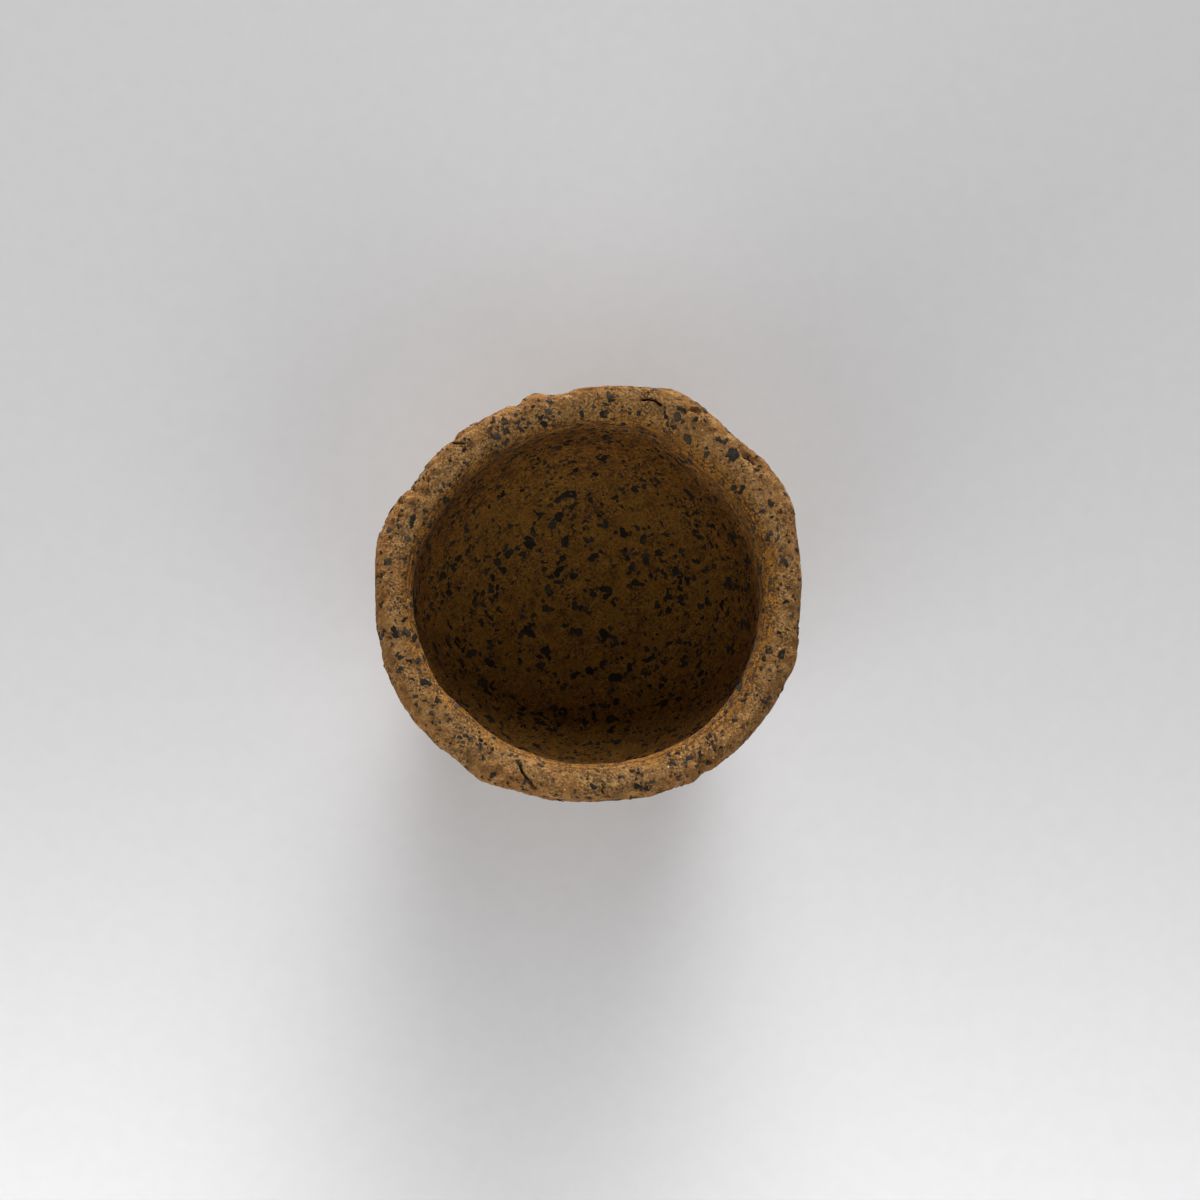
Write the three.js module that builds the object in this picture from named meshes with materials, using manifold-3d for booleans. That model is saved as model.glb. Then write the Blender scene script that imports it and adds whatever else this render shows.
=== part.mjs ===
// Mezcal cup: a small hand-built drinking cup of coarse stoneware, full of dark stones.
// It stands on its foot with the mouth up. Millimetres, +Z up, origin at the centre of the foot's underside.
// The clay is four pieces, as a potter lays them: a pressed dish and three coils, each on a level seam.
// The largest stones sit in pockets of their own shape in the lip and in the bowl.

import * as THREE from 'three';
import { mergeVertices } from 'three/addons/utils/BufferGeometryUtils.js';
import Module from 'manifold-3d';

const wasm = await Module();
wasm.setup();

// Driving dimensions of the cup
const mouthRadius = 32;
const lipWidth = 6.2;
const bowlDepth = 34;
const floorThickness = 8;
const footRadius = 20.5;
const mouthStraight = 8;

// Driving dimensions of the coils: the lip's height, and how far the dish rises past the bowl's bottom
const lipCoilHeight = 9;
const dishRise = 5;

// Edges
const footEdgeRound = 1.6;
const lipOuterRound = 2.4;
const lipInnerRound = 1.5;

// How the hand left it: how much of the mouth's lean reaches the foot, unevenness of the lip's top, and the
// pinched hollows round the outside, with the turn in radians that each takes on its way up
const leanAtFoot = 0.35;
const lipTopWave = 0.3;
const pinchDepth = 0.35;
const pinchesAround = 7;
const pinchTurn = 4;

// The slanting join of the lip coil's two ends, open at the top as a crack
const joinAngle = 250.5;
const joinSlant = 50;
const joinWidth = 0.5;
const joinDepth = 3;
const joinFromMiddle = 0.1;
const joinLength = 6.4;

// Stones: the gap round each in its pocket, how far each stands out of the clay, and how uneven its sides are
const seatGap = 0.3;
const stoneProud = 0.25;
const stoneUnevenness = 0.14;

// Fullness of the outer curve, 0 for a plain cone, and roundness of the bowl, 2 for an ellipse
const bellyFullness = 0.9;
const bowlRoundness = 2.2;

const stepsAround = 72;
const wallSteps = 5;
const roundSteps = 3;
const bowlSteps = 6;

// Worked out from the sizes above
const cupHeight = floorThickness + bowlDepth;
const bowlRadius = mouthRadius - lipWidth;
const domeDepth = bowlDepth - mouthStraight;
const domeTop = cupHeight - mouthStraight;
const dishTop = floorThickness + dishRise;
const lipBottom = cupHeight - lipCoilHeight;
const wallMiddle = (dishTop + lipBottom) / 2;

// How far the mouth leans out (+) or in (-) of its mean circle: [degrees round from +X, millimetres]
const outerLean = [
  [0, 0.1], [27, 1.5], [48, 0.7], [66, 1.5], [97, -1.3], [132, -1.1], [170, 0.6],
  [192, 0.1], [222, 0.7], [266, -0.7], [302, 0.3], [325, 0.6],
];
const innerLean = [
  [15, 0.8], [50, 0], [68, 1], [100, -0.1], [135, -1], [180, 0.9],
  [225, -0.7], [262, 0.3], [310, -0.3], [345, 0.4],
];

// Stones in the lip: [degrees round, distance out from the lip's middle, length, width, turn in degrees]
const lipStones = [
  [43.9, 0.3, 3.4, 2.9, 60],
  [49.9, 0.8, 2.8, 1.5, 145],
  [63.7, 0.8, 2.8, 1.7, 143],
  [36.5, 1.6, 2.1, 1.3, 168],
  [159, -0.5, 3.4, 1.8, 66],
  [193, 0.7, 2.4, 1.6, 172],
  [304, 0.2, 2.4, 1.6, 100],
  [342, 0.8, 2.2, 1.5, 70],
];

// Stones in the bowl: [degrees round, degrees up the bowl from its bottom, length, width, turn in degrees]
const bowlStones = [
  [101, 27, 3.1, 2.3, 62],
  [193, 16, 3.1, 2.1, 130],
  [222, 14, 2.9, 2.2, 120],
  [302, 22, 3.9, 2, 0],
  [267, 17, 3.3, 1.7, 36],
  [35, 55, 3.2, 2.1, 152],
  [51, 13, 3.5, 1.8, 173],
  [95, 46, 3.7, 2.1, 0],
  [78, 21, 3.1, 1.7, 46],
  [40, 36, 2.4, 2, 90],
  [148, 32, 3.1, 1.6, 139],
  [137, 71, 3.3, 1.9, 55],
];

const clayPaint = { roughness: 0.95, metalness: 0 };
const clayBody = new THREE.MeshStandardMaterial({ ...clayPaint, color: 0x9a7448 });
const clayWall = new THREE.MeshStandardMaterial({ ...clayPaint, color: 0xa07a4e });
const clayLip = new THREE.MeshStandardMaterial({ ...clayPaint, color: 0xa58459 });
const darkStone = new THREE.MeshStandardMaterial({ color: 0x1d1b1c, roughness: 0.7, metalness: 0 });

const radians = (degrees) => THREE.MathUtils.degToRad(degrees);
const upwards = new THREE.Vector3(0, 0, 1);

// Outer radius of the even cup at a height: a full curve from the foot to the lip
function outerRadius(height) {
  const share = height / cupHeight;
  return footRadius + (mouthRadius - footRadius) * share * (1 + bellyFullness * (1 - share));
}

// Inner radius of the even cup at a height: a round bowl under a short straight mouth, nothing below the bowl
function innerRadius(height) {
  if (height >= domeTop) return bowlRadius;
  const drop = (domeTop - height) / domeDepth;
  if (drop >= 1) return 0;
  return bowlRadius * (1 - drop ** bowlRoundness) ** (1 / bowlRoundness);
}

// Lean of the mouth at an angle in radians, eased from each station to the next one round
function leanAt(stations, angle) {
  const degrees = THREE.MathUtils.euclideanModulo(THREE.MathUtils.radToDeg(angle), 360);
  const found = stations.findIndex(([at]) => at > degrees);
  const after = found < 0 ? 0 : found;
  const before = (after + stations.length - 1) % stations.length;
  const span = THREE.MathUtils.euclideanModulo(stations[after][0] - stations[before][0], 360);
  const gone = THREE.MathUtils.euclideanModulo(degrees - stations[before][0], 360);
  const eased = THREE.MathUtils.smoothstep(gone / span, 0, 1);
  return THREE.MathUtils.lerp(stations[before][1], stations[after][1], eased);
}

// Where a point of the even cup ends up after shaping by hand: [radius, height] at an angle in radians.
// The lean grows from the foot up, the pinched hollows are deepest halfway up, and the lip's top waves.
function shaped(radius, height, angle) {
  const inner = innerRadius(height);
  const outside = THREE.MathUtils.clamp((radius - inner) / (outerRadius(height) - inner), 0, 1);
  const up = height / cupHeight;
  const pinch = pinchDepth * (1 + Math.cos(pinchesAround * angle + pinchTurn * up)) * Math.sin(Math.PI * up);
  const outerMove = leanAt(outerLean, angle) * THREE.MathUtils.lerp(leanAtFoot, 1, up) - pinch;
  const innerMove = leanAt(innerLean, angle) * Math.min(1, radius / bowlRadius) * up;
  const lipShare = Math.max(0, (height - lipBottom) / lipCoilHeight);
  const wave = lipTopWave * Math.sin(3 * angle + 1) * Math.cos(angle) * lipShare;
  return [radius + outside * outerMove + (1 - outside) * innerMove, height + wave];
}

// A profile turned round the cup's axis, then shaped by hand
function turned(profile) {
  const geometry = new THREE.LatheGeometry(profile, stepsAround);
  geometry.rotateX(Math.PI / 2);
  const place = geometry.attributes.position;
  for (let i = 0; i < place.count; i += 1) {
    const angle = Math.atan2(place.getY(i), place.getX(i));
    const even = Math.hypot(place.getX(i), place.getY(i));
    const [radius, height] = shaped(even, place.getZ(i), angle);
    place.setXYZ(i, radius * Math.cos(angle), radius * Math.sin(angle), height);
  }
  return geometry;
}

// Points up the outside between two heights, and down the bowl between two heights
function outsideUp(low, high, steps = wallSteps) {
  return Array.from({ length: steps + 1 }, (_, i) => {
    const height = THREE.MathUtils.lerp(low, high, i / steps);
    return new THREE.Vector2(outerRadius(height), height);
  });
}
function insideDown(high, low, steps = wallSteps) {
  return outsideUp(high, low, steps).map(({ y }) => new THREE.Vector2(innerRadius(y), y));
}

// A quarter round about a centre, from one direction to another in degrees
function quarter(centreRadius, centreHeight, round, from, to) {
  return Array.from({ length: roundSteps + 1 }, (_, i) => {
    const at = radians(THREE.MathUtils.lerp(from, to, i / roundSteps));
    return new THREE.Vector2(centreRadius + round * Math.cos(at), centreHeight + round * Math.sin(at));
  });
}

function closed(points) {
  return [...points, points[0].clone()];
}

// The dish: flat foot, rounded foot edge, outside up to its seam, and the bottom of the bowl
function dishGeometry() {
  const footEdge = quarter(outerRadius(footEdgeRound) - footEdgeRound, footEdgeRound, footEdgeRound, -90, 0);
  const bowl = Array.from({ length: bowlSteps + 1 }, (_, i) => {
    const radius = innerRadius(dishTop) * (1 - i / bowlSteps);
    const drop = (1 - (radius / bowlRadius) ** bowlRoundness) ** (1 / bowlRoundness);
    return new THREE.Vector2(radius, domeTop - domeDepth * drop);
  });
  return turned([
    new THREE.Vector2(0, 0),
    ...footEdge,
    ...outsideUp(footEdgeRound, dishTop).slice(1),
    ...bowl,
  ]);
}

// A wall coil, pinched out between two level seams
function wallCoilGeometry(low, high) {
  return turned(closed([...outsideUp(low, high), ...insideDown(high, low)]));
}

// The lip coil: outside, rounded outer edge, level top, rounded inner edge, and the straight mouth inside
function lipCoilGeometry() {
  const outerTop = cupHeight - lipOuterRound;
  const innerTop = cupHeight - lipInnerRound;
  return turned(closed([
    ...outsideUp(lipBottom, outerTop),
    ...quarter(outerRadius(outerTop) - lipOuterRound, outerTop, lipOuterRound, 0, 90).slice(1),
    ...quarter(bowlRadius + lipInnerRound, innerTop, lipInnerRound, 90, 180),
    ...insideDown(innerTop, lipBottom).slice(1),
  ]));
}

// A crushed stone of twenty flat sides, some pushed in and some out. Its widest part is level with the clay:
// half its depth lies below, and its top is worn down to a low cap.
function stoneGeometry(length, width, depth, cap, turn) {
  const geometry = new THREE.IcosahedronGeometry(0.5, 0);
  const place = geometry.attributes.position;
  const point = new THREE.Vector3();
  for (let i = 0; i < place.count; i += 1) {
    point.fromBufferAttribute(place, i);
    point.multiplyScalar(1 + stoneUnevenness * Math.sin(9 * point.x + 5 * point.y + turn));
    place.setXYZ(i, point.x * length, point.y * width, point.z * (point.z > 0 ? 2 * cap : depth));
  }
  return geometry.rotateZ(radians(turn));
}

// Tilt of the lip's top, in radians outwards, at a radius of the even cup: level between its rounded edges
function lipTilt(radius) {
  const outerStart = outerRadius(cupHeight - lipOuterRound) - lipOuterRound;
  const innerStart = bowlRadius + lipInnerRound;
  if (radius > outerStart) return Math.asin(Math.min(1, (radius - outerStart) / lipOuterRound));
  return Math.asin(THREE.MathUtils.clamp((radius - innerStart) / lipInnerRound, -1, 0));
}

// The seat of a stone: where its middle lies and which way its outer face looks
function lipSeat([around, fromMiddle]) {
  const angle = radians(around);
  const even = bowlRadius + lipWidth / 2 + fromMiddle;
  const tilt = lipTilt(even);
  const drop = (tilt > 0 ? lipOuterRound : lipInnerRound) * (1 - Math.cos(tilt));
  const [radius, height] = shaped(even, cupHeight - drop, angle);
  const facing = new THREE.Vector3(Math.sin(tilt), 0, Math.cos(tilt)).applyAxisAngle(upwards, angle);
  return { place: new THREE.Vector3(radius * Math.cos(angle), radius * Math.sin(angle), height), facing };
}
function bowlSeat([around, up]) {
  const at = (degrees) => {
    const share = 2 / bowlRoundness;
    const even = bowlRadius * Math.sin(radians(degrees)) ** share;
    const level = domeTop - domeDepth * Math.cos(radians(degrees)) ** share;
    const [radius, height] = shaped(even, level, radians(around));
    return new THREE.Vector3(radius * Math.cos(radians(around)), radius * Math.sin(radians(around)), height);
  };
  const uphill = at(up + 1).sub(at(up - 1)).normalize();
  const sideways = new THREE.Vector3(-Math.sin(radians(around)), Math.cos(radians(around)), 0);
  return { place: at(up), facing: new THREE.Vector3().crossVectors(uphill, sideways).normalize() };
}

// Mesh to solid and back
function toSolid(geometry) {
  const bare = geometry.clone();
  bare.deleteAttribute('normal');
  bare.deleteAttribute('uv');
  const merged = mergeVertices(bare, 1e-4);
  const vertProperties = new Float32Array(merged.attributes.position.array);
  const triVerts = new Uint32Array(merged.index.array);
  return new wasm.Manifold(new wasm.Mesh({ numProp: 3, vertProperties, triVerts }));
}
function toGeometry(solid) {
  const { vertProperties, triVerts } = solid.getMesh();
  const geometry = new THREE.BufferGeometry();
  geometry.setAttribute('position', new THREE.BufferAttribute(vertProperties, 3));
  geometry.setIndex(new THREE.BufferAttribute(triVerts, 1));
  geometry.computeVertexNormals();
  return geometry;
}

const cup = new THREE.Group();
const pockets = [];

function addPiece(name, geometry, material) {
  const mesh = new THREE.Mesh(geometry, material);
  mesh.name = name;
  cup.add(mesh);
}

// A stone in its seat, and its pocket, larger all round by the gap
function addStone(name, seat, length, width, turn) {
  const bed = new THREE.Matrix4().makeRotationFromQuaternion(
    new THREE.Quaternion().setFromUnitVectors(upwards, seat.facing),
  ).setPosition(seat.place);
  const wider = 2 * seatGap;
  const pocket = stoneGeometry(length + wider, width + wider, width + wider, stoneProud + seatGap, turn);
  pockets.push(toSolid(pocket.applyMatrix4(bed)));
  addPiece(name, stoneGeometry(length, width, width, stoneProud, turn).applyMatrix4(bed), darkStone);
}

lipStones.forEach((stone, i) => {
  const [, , length, width, turn] = stone;
  addStone(`lip_stone_${i + 1}`, lipSeat(stone), length, width, turn);
});
bowlStones.forEach((stone, i) => {
  const [, , length, width, turn] = stone;
  addStone(`bowl_stone_${i + 1}`, bowlSeat(stone), length, width, turn);
});

// The crack where the lip coil's ends meet: a narrow wedge, open at the top, slanting across the lip
function joinWedge() {
  const section = new THREE.Shape([
    new THREE.Vector2(-joinWidth / 2, lipTopWave),
    new THREE.Vector2(0, -joinDepth),
    new THREE.Vector2(joinWidth / 2, lipTopWave),
  ]);
  const wedge = new THREE.ExtrudeGeometry(section, { depth: joinLength, bevelEnabled: false });
  wedge.translate(0, 0, -joinLength / 2).rotateX(Math.PI / 2).rotateZ(radians(joinAngle + joinSlant - 90));
  const { place } = lipSeat([joinAngle, joinFromMiddle]);
  return toSolid(wedge.translate(place.x, place.y, place.z));
}

const cuts = wasm.Manifold.union(pockets);
const clays = [
  ['base_dish', dishGeometry(), clayBody],
  ['lower_wall_coil', wallCoilGeometry(dishTop, wallMiddle), clayWall],
  ['upper_wall_coil', wallCoilGeometry(wallMiddle, lipBottom), clayWall],
];
for (const [name, geometry, material] of clays) {
  addPiece(name, toGeometry(toSolid(geometry).subtract(cuts)), material);
}
addPiece('lip_coil', toGeometry(toSolid(lipCoilGeometry()).subtract(cuts).subtract(joinWedge())), clayLip);

// The outline is uneven, so the origin goes under its middle
const middle = new THREE.Box3().setFromObject(cup).getCenter(new THREE.Vector3());
cup.position.set(-middle.x, -middle.y, 0);

export default cup;
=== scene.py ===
import bpy
import numpy as np
from mathutils import Matrix, Vector


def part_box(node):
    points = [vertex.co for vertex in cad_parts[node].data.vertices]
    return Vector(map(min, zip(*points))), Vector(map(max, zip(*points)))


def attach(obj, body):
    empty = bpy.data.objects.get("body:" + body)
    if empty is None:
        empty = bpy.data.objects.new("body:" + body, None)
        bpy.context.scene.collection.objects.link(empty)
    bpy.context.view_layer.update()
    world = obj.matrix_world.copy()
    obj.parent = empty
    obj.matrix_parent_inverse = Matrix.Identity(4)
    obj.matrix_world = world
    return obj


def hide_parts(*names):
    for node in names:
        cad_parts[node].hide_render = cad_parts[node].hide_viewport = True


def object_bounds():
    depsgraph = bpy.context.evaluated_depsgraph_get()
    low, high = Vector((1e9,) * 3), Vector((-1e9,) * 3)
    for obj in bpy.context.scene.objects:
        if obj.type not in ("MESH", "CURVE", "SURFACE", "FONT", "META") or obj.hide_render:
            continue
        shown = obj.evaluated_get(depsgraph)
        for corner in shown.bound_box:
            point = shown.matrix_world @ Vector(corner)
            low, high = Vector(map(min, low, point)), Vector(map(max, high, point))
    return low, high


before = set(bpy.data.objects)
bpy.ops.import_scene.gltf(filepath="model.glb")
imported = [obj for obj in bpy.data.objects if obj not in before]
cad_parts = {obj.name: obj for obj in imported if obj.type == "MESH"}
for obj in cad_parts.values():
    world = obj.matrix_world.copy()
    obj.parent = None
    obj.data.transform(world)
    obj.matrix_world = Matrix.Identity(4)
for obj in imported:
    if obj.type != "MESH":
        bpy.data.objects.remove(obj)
cad_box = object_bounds()

# View into the mouth. The cup stands on its foot here, so the camera looks down into it, from the same side
# of its axis as in the photograph, where the cup lies with its mouth to the lens and a little raised.
MM = 0.001
PIXEL = 0.1492 * MM
FRAME_PIXELS = 1200
MOUTH_PIXEL = (589.6, 589.4)
VIEW_DISTANCE = 700 * MM
VIEW_BELOW = np.radians(8)
VIEW_LEFT = np.radians(3)
SENSOR_WIDTH_MM = 36
NEAREST_SEEN = 10 * MM

lip_low, lip_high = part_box("lip_coil")
towards = Vector((-np.sin(VIEW_LEFT), -np.sin(VIEW_BELOW), 0))
towards.z = np.sqrt(1 - towards.length_squared)
picture_up = (Vector((0, 1, 0)) - towards * towards.y).normalized()
picture_right = picture_up.cross(towards)
mouth_centre = Vector(((lip_low.x + lip_high.x) / 2, (lip_low.y + lip_high.y) / 2, lip_high.z))
aim = mouth_centre + picture_right * (FRAME_PIXELS / 2 - MOUTH_PIXEL[0]) * PIXEL
aim -= picture_up * (FRAME_PIXELS / 2 - MOUTH_PIXEL[1]) * PIXEL

camera = bpy.data.objects.new("camera", bpy.data.cameras.new("camera"))
camera.data.sensor_width = SENSOR_WIDTH_MM
camera.data.lens = SENSOR_WIDTH_MM * VIEW_DISTANCE / (FRAME_PIXELS * PIXEL)
camera.data.clip_start = NEAREST_SEEN
turn = Matrix((picture_right, picture_up, towards)).transposed().to_4x4()
camera.matrix_world = Matrix.Translation(aim + towards * VIEW_DISTANCE) @ turn
bpy.context.scene.collection.objects.link(camera)
bpy.context.scene.camera = camera


# Paper floor. A wide sheet of matt white paper that the cup stands on, with the faint unevenness of its pulp.
# It belongs to the stage and not to the cup.
class Wire:
    """One output of a shader node.

    Operators on wires and numbers, and their reflected forms, add Math nodes, so 1 - mask is a wire."""

    def __init__(self, tree, socket=None):
        self.tree, self.socket = tree, socket

    def add(self, kind, inputs=None, output=0, **settings):
        """Adds a node of a kind: its settings first, then its sockets' values or wires."""
        node = self.tree.nodes.new("ShaderNode" + kind)
        for name, value in settings.items():
            setattr(node, name, value)
        for name, value in (inputs or {}).items():
            if isinstance(value, Wire):
                self.tree.links.new(value.socket, node.inputs[name])
            else:
                node.inputs[name].default_value = value
        return Wire(self.tree, node.outputs[output])

    def math(self, operation, first, second=0.0):
        return self.add("Math", {0: first, 1: second}, operation=operation)

    def __add__(self, other):
        return self.math("ADD", self, other)

    def __sub__(self, other):
        return self.math("SUBTRACT", self, other)

    def __rsub__(self, other):
        return self.math("SUBTRACT", other, self)

    def __mul__(self, other):
        return self.math("MULTIPLY", self, other)

    def __lt__(self, other):
        return self.math("LESS_THAN", self, other)

    def __gt__(self, other):
        return self.math("GREATER_THAN", self, other)

    __radd__ = __add__
    __rmul__ = __mul__

    def __abs__(self):
        return self.math("ABSOLUTE", self)

    def sine(self):
        return self.math("SINE", self)

    def fade(self, low, high):
        """0 below low, 1 above high, eased between."""
        limits = {"Value": self, "From Min": low, "From Max": high}
        return self.add("MapRange", limits, interpolation_type="SMOOTHSTEP")

    def mix(self, below, above):
        """The colour below where this wire is 0, and above where it is 1."""
        return self.add("Mix", {0: self, 6: below, 7: above}, output=2, data_type="RGBA")

    def noise(self, size, detail=3.0, roughness=0.55):
        """Noise in 0..1 on this place, with blotches of a size in metres."""
        inputs = {"Vector": self, "Scale": 1 / size, "Detail": detail, "Roughness": roughness}
        return self.add("TexNoise", inputs)


def new_material(name, **constants):
    """A material, a wire of the place on its piece in metres, and its shader with constant sockets set."""
    material = bpy.data.materials.new(name)
    material.use_nodes = True
    shader = material.node_tree.nodes["Principled BSDF"]
    for socket, value in constants.items():
        shader.inputs[socket.replace("_", " ")].default_value = value
    place = Wire(material.node_tree).add("TexCoord", output="Object")
    return material, place, shader


def feed(shader, **wires):
    """Links wires to the shader's sockets."""
    for socket, wire in wires.items():
        wire.tree.links.new(wire.socket, shader.inputs[socket.replace("_", " ")])


FLOOR_SIZE = 3.0
PAPER_SHADE, PAPER_LIGHT = (0.78, 0.78, 0.79, 1), (0.83, 0.83, 0.84, 1)
floor_mesh = bpy.data.meshes.new("paper_floor")
reach = FLOOR_SIZE / 2
floor_mesh.from_pydata(
    [(-reach, -reach, 0), (reach, -reach, 0), (reach, reach, 0), (-reach, reach, 0)], [], [(0, 1, 2, 3)]
)
floor = bpy.data.objects.new("paper_floor", floor_mesh)
bpy.context.scene.collection.objects.link(floor)

paper, on_paper, paper_shader = new_material("white_paper", Roughness=0.9)
paper_shader.inputs["Specular IOR Level"].default_value = 0.2
pulp = on_paper.noise(3 * MM, detail=5)
feed(
    paper_shader,
    Base_Color=pulp.mix(PAPER_SHADE, PAPER_LIGHT),
    Normal=pulp.add("Bump", {"Height": pulp, "Strength": 0.15, "Distance": 0.1 * MM}),
)
floor.data.materials.append(paper)

# Clay of the cup. Coarse tan stoneware, laid as a pressed dish and three coils, smeared into one wall and
# fired. The four pieces share one skin: stretches gives its profile, shape_by_hand its unevenness, rough_skin
# the torn outside, wiped lip and turned bowl. Its sizes are in millimetres.
MOUTH_RADIUS, LIP_WIDTH = 32.0, 6.2
BOWL_DEPTH, FLOOR_THICKNESS = 34.0, 8.0
FOOT_RADIUS, MOUTH_STRAIGHT = 20.5, 8.0
LIP_COIL_HEIGHT, DISH_RISE = 9.0, 5.0
FOOT_EDGE_ROUND, LIP_OUTER_ROUND, LIP_INNER_ROUND = 1.6, 2.4, 2.2
LEAN_AT_FOOT, LIP_TOP_WAVE, LIP_INWARD_DROP = 0.35, 0.3, 0.35
PINCH_DEPTH, PINCHES_AROUND, PINCH_TURN = 0.35, 7, 4.0
BELLY_FULLNESS, BOWL_ROUNDNESS = 0.9, 2.2
CUP_HEIGHT = FLOOR_THICKNESS + BOWL_DEPTH
BOWL_RADIUS = MOUTH_RADIUS - LIP_WIDTH
DOME_DEPTH, DOME_TOP = BOWL_DEPTH - MOUTH_STRAIGHT, CUP_HEIGHT - MOUTH_STRAIGHT
DISH_TOP, LIP_BOTTOM = FLOOR_THICKNESS + DISH_RISE, CUP_HEIGHT - LIP_COIL_HEIGHT
WALL_MIDDLE = (DISH_TOP + LIP_BOTTOM) / 2

# Lean of the mouth out (+) or in (-) of its mean circle: degrees round from +X, millimetres
OUTER_LEAN = [
    (0, 0.1), (27, 1.5), (48, 0.7), (66, 1.5), (97, -1.3), (132, -1.1), (170, 0.6),
    (192, 0.1), (222, 0.7), (266, -0.7), (302, 0.3), (325, 0.6),
]
INNER_LEAN = [
    (0, 0.2), (15, 0.6), (30, 0.45), (50, -0.4), (68, 0.9), (90, 0), (120, -0.95), (135, -1.1), (150, -0.7),
    (180, 0.7), (210, 0.6), (225, -0.2), (262, 0.15), (285, 0.1), (310, 0.6), (325, 0.6), (345, 0.1),
]
# Marks of thumb and fingers in the rim's outside: middle and half width in degrees, millimetres out or in (-)
RIM_MARKS = [
    (3, 2.5, 0.2), (15, 7, -0.3), (35, 9, 0.3), (56, 4, -0.2), (65, 5, 0.15), (90, 5, 0.35), (98, 3, -0.3),
    (106, 3.2, 0.45), (111, 1.6, -0.5), (129, 3, 0.25), (149, 8, -0.65), (199, 7, 0.25), (231, 5, -0.2),
    (240, 3.5, 0.35), (271, 6, 0.2), (292, 3, -0.3), (310, 9, -0.28), (342, 3.5, 0.25), (354, 5, -0.2),
]
# Shares of the cup's height where the marks begin and are full, and of the lip's width that slopes inwards
MARKS_FROM, MARKS_FULL, INWARD_SHARE = 0.5, 0.95, 0.6


def outer_radius(height):
    """Outer radius of the even cup, a full curve: foot + rise * share * (1 + fullness * (1 - share))."""
    share = height / CUP_HEIGHT
    return FOOT_RADIUS + (MOUTH_RADIUS - FOOT_RADIUS) * share * (1 + BELLY_FULLNESS * (1 - share))


def inner_radius(height):
    """Inner radius of the even cup: straight at the mouth, then a bowl whose section is a fuller ellipse."""
    drop = np.clip((DOME_TOP - height) / DOME_DEPTH, 0, 1)
    return BOWL_RADIUS * (1 - drop**BOWL_ROUNDNESS) ** (1 / BOWL_ROUNDNESS)


def smooth(low, high, value):
    """0 below low, 1 above high, eased between."""
    share = np.clip((value - low) / (high - low), 0, 1)
    return share * share * (3 - 2 * share)


def lean_at(stations, angle):
    """Lean at an angle in radians, eased from each station to the next one round."""
    degrees = np.degrees(angle) % 360
    at, lean = np.array(stations, float).T
    at, lean = np.append(at, at[0] + 360), np.append(lean, lean[0])
    degrees = np.where(degrees < at[0], degrees + 360, degrees)
    before = np.searchsorted(at, degrees, side="right") - 1
    before = np.minimum(before, len(at) - 2)
    share = smooth(0, 1, (degrees - at[before]) / (at[before + 1] - at[before]))
    return lean[before] * (1 - share) + lean[before + 1] * share


def shape_by_hand(radius, height, angle):
    """Radius and height after pinching.

    The lean grows upwards. Hollows and finger marks ring the outside, each mark a bell curve round the rim.
    The lip's top waves, and slopes down into the bowl over the inner INWARD_SHARE of its width."""
    inner = inner_radius(height)
    outside = np.clip((radius - inner) / (outer_radius(height) - inner), 0, 1)
    up = height / CUP_HEIGHT
    pinch = PINCH_DEPTH * (1 + np.cos(PINCHES_AROUND * angle + PINCH_TURN * up)) * np.sin(np.pi * up)
    around = np.degrees(angle)
    marks = sum(
        out * np.exp(-((((around - at + 180) % 360 - 180) / half) ** 2)) for at, half, out in RIM_MARKS
    )
    outer_move = lean_at(OUTER_LEAN, angle) * (LEAN_AT_FOOT + (1 - LEAN_AT_FOOT) * up) - pinch
    outer_move = outer_move + marks * smooth(MARKS_FROM, MARKS_FULL, up)
    inner_move = lean_at(INNER_LEAN, angle) * np.minimum(1, radius / BOWL_RADIUS) * up
    lip_share = np.maximum(0, (height - LIP_BOTTOM) / LIP_COIL_HEIGHT)
    wave = LIP_TOP_WAVE * np.sin(3 * angle + 1) * np.cos(angle)
    sloping = INWARD_SHARE * LIP_WIDTH
    slope = LIP_INWARD_DROP * np.clip((BOWL_RADIUS + sloping - radius) / sloping, 0, 1)
    return radius + outside * outer_move + (1 - outside) * inner_move, height + (wave - slope) * lip_share


def quarter_round(centre_radius, centre_height, size, start, end, steps):
    """Points of a quarter round about a centre, its start left out."""
    at = np.radians(np.linspace(start, end, steps + 1)[1:])
    return np.stack([centre_radius + size * np.cos(at), centre_height + size * np.sin(at)], 1)


def up_outside(low, high, step):
    """Points up the even outside, its lowest left out."""
    height = np.linspace(low, high, int(abs(high - low) / step) + 2)[1:]
    return np.stack([outer_radius(height), height], 1)


BOWL_SAMPLES = 2000


def down_inside(high, low, step):
    """Points down the even bowl at even steps along it, its highest left out."""
    fine = np.linspace(high, low, BOWL_SAMPLES)
    radius = inner_radius(fine)
    gone = np.append(0, np.cumsum(np.hypot(np.diff(radius), np.diff(fine))))
    height = np.interp(np.linspace(0, gone[-1], int(gone[-1] / step) + 2)[1:], gone, fine)
    return np.stack([inner_radius(height), height], 1)


def value_noise(points, seed):
    """Smooth noise in -1..1: heights hashed from whole-number points, blended with an eased weight."""
    base = np.floor(points).astype(np.int64)
    part = points - base
    part = part * part * (3 - 2 * part)
    total = np.zeros(points.shape[:-1])
    for corner in np.ndindex(2, 2, 2):
        cell = (base + corner) @ np.array([73856093, 19349663, 83492791]) + seed * 9973
        cell = (cell ^ (cell >> 13)) * 1274126177 & 0xFFFFFFFF
        cell = (cell ^ (cell >> 16)) * 40503 & 0xFFFF
        total += np.prod(np.where(corner, part, 1 - part), axis=-1) * (cell / 32767.5 - 1)
    return total


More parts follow.
